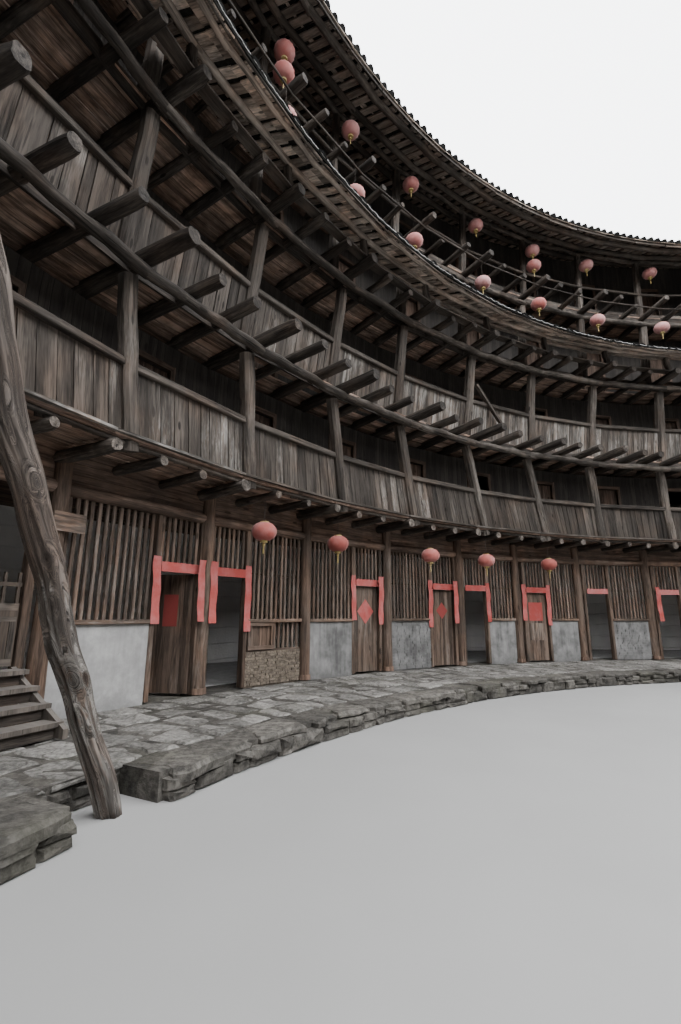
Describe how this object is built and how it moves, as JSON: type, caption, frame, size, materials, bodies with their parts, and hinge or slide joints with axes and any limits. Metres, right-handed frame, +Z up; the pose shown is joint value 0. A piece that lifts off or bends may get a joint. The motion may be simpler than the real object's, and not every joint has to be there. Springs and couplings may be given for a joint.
{
  "type": "tulou roundhouse, 1:2 scale model",
  "caption": "Closed ring of timber galleries on several storeys around an open court, inside a thick rammed-earth wall, with a tiled ring roof and a lower tiled skirt roof.",
  "frame": {"origin": "on the ground at the centre of the courtyard", "axes": "+Z up, +Y towards the part of the ring that the picture looks at"},
  "size_m": [25.1693, 25.1846, 7.95],
  "materials": {
    "walkway_stone": "rough rubble kerb and worn slabs",
    "floor_timber": "weathered logs and boards",
    "gallery_timber": "weathered grey-brown boards",
    "room_boards": "dark smoked boards",
    "roof_tile": "matt fired clay tile",
    "plaster": "stained lime plaster on brick",
    "rammed_earth": "rammed earth, matt",
    "door_timber": "old planks",
    "stair_timber": "worn grey planks",
    "prop_log": "rough debarked trunk",
    "lantern_red": "faded red cloth"
  },
  "bodies": {
    "building": {"stone_walkway_front": "walkway_stone", "floor_2f_front": "floor_timber", "gallery_2f_front_east": "gallery_timber", "gallery_2f_front_middle": "gallery_timber", "gallery_2f_front_west": "gallery_timber", "room_front_2f_front": "room_boards", "floor_3f_front": "floor_timber", "gallery_3f_front": "gallery_timber", "room_front_3f_front": "room_boards", "floor_4f_front": "floor_timber", "gallery_4f_front": "gallery_timber", "room_front_4f_front": "room_boards", "floor_5f_front": "floor_timber", "gallery_5f_front": "gallery_timber", "room_front_5f_front": "room_boards", "main_roof_front": "roof_tile", "skirt_roof_front": "roof_tile", "skirt_purlin_front": "floor_timber", "stone_walkway_rear": "walkway_stone", "floor_2f_rear": "floor_timber", "gallery_2f_rear": "gallery_timber", "room_front_2f_rear": "room_boards", "floor_3f_rear": "floor_timber", "gallery_3f_rear": "gallery_timber", "room_front_3f_rear": "room_boards", "floor_4f_rear": "floor_timber", "gallery_4f_rear": "gallery_timber", "room_front_4f_rear": "room_boards", "floor_5f_rear": "floor_timber", "gallery_5f_rear": "gallery_timber", "room_front_5f_rear": "room_boards", "main_roof_rear": "roof_tile", "skirt_roof_rear": "roof_tile", "skirt_purlin_rear": "floor_timber", "ground_front_1": "plaster", "ground_front_2": "plaster", "ground_front_3": "plaster", "ground_front_4": "plaster", "ground_front_5": "plaster", "ground_front_rear": "plaster", "front_head_beam": "room_boards", "outer_wall_south": "rammed_earth", "outer_wall_east": "rammed_earth", "outer_wall_north": "rammed_earth", "outer_wall_west": "rammed_earth", "stair_flight": "stair_timber", "leaning_prop": "prop_log", "upper_lanterns": "lantern_red", "lower_lanterns": "lantern_red", "ground_lantern_1": "lantern_red", "ground_lantern_2": "lantern_red", "ground_lantern_3": "lantern_red", "ground_lantern_4": "lantern_red", "ground_lantern_5": "lantern_red"},
    "door_1": {"door_1_leaf": "door_timber"},
    "door_3": {"door_3_leaf": "door_timber"},
    "door_4": {"door_4_leaf": "door_timber"},
    "door_6": {"door_6_leaf": "door_timber"},
    "gate": {"stair_gate": "door_timber"}
  },
  "joints": [
    {"name": "door_1_hinge", "type": "hinge", "parent": "building", "child": "door_1", "pos_m": [-7.30803, 5.29985, 0.14], "axis": [0, 0, -1], "range_deg": [-62, 28]},
    {"name": "door_3_hinge", "type": "hinge", "parent": "building", "child": "door_3", "pos_m": [-5.58887, 7.08945, 0.14], "axis": [0, 0, -1], "range_deg": [0, 90]},
    {"name": "door_4_hinge", "type": "hinge", "parent": "building", "child": "door_4", "pos_m": [-4.49327, 7.82983, 0.14], "axis": [0, 0, -1], "range_deg": [0, 90]},
    {"name": "door_6_hinge", "type": "hinge", "parent": "building", "child": "door_6", "pos_m": [-2.9018, 8.54841, 0.14], "axis": [0, 0, -1], "range_deg": [0, 90]},
    {"name": "gate_hinge", "type": "hinge", "parent": "building", "child": "gate", "pos_m": [-8.24061, 3.64314, 0.475], "axis": [0, 0, 1], "range_deg": [0, 88]}
  ]
}
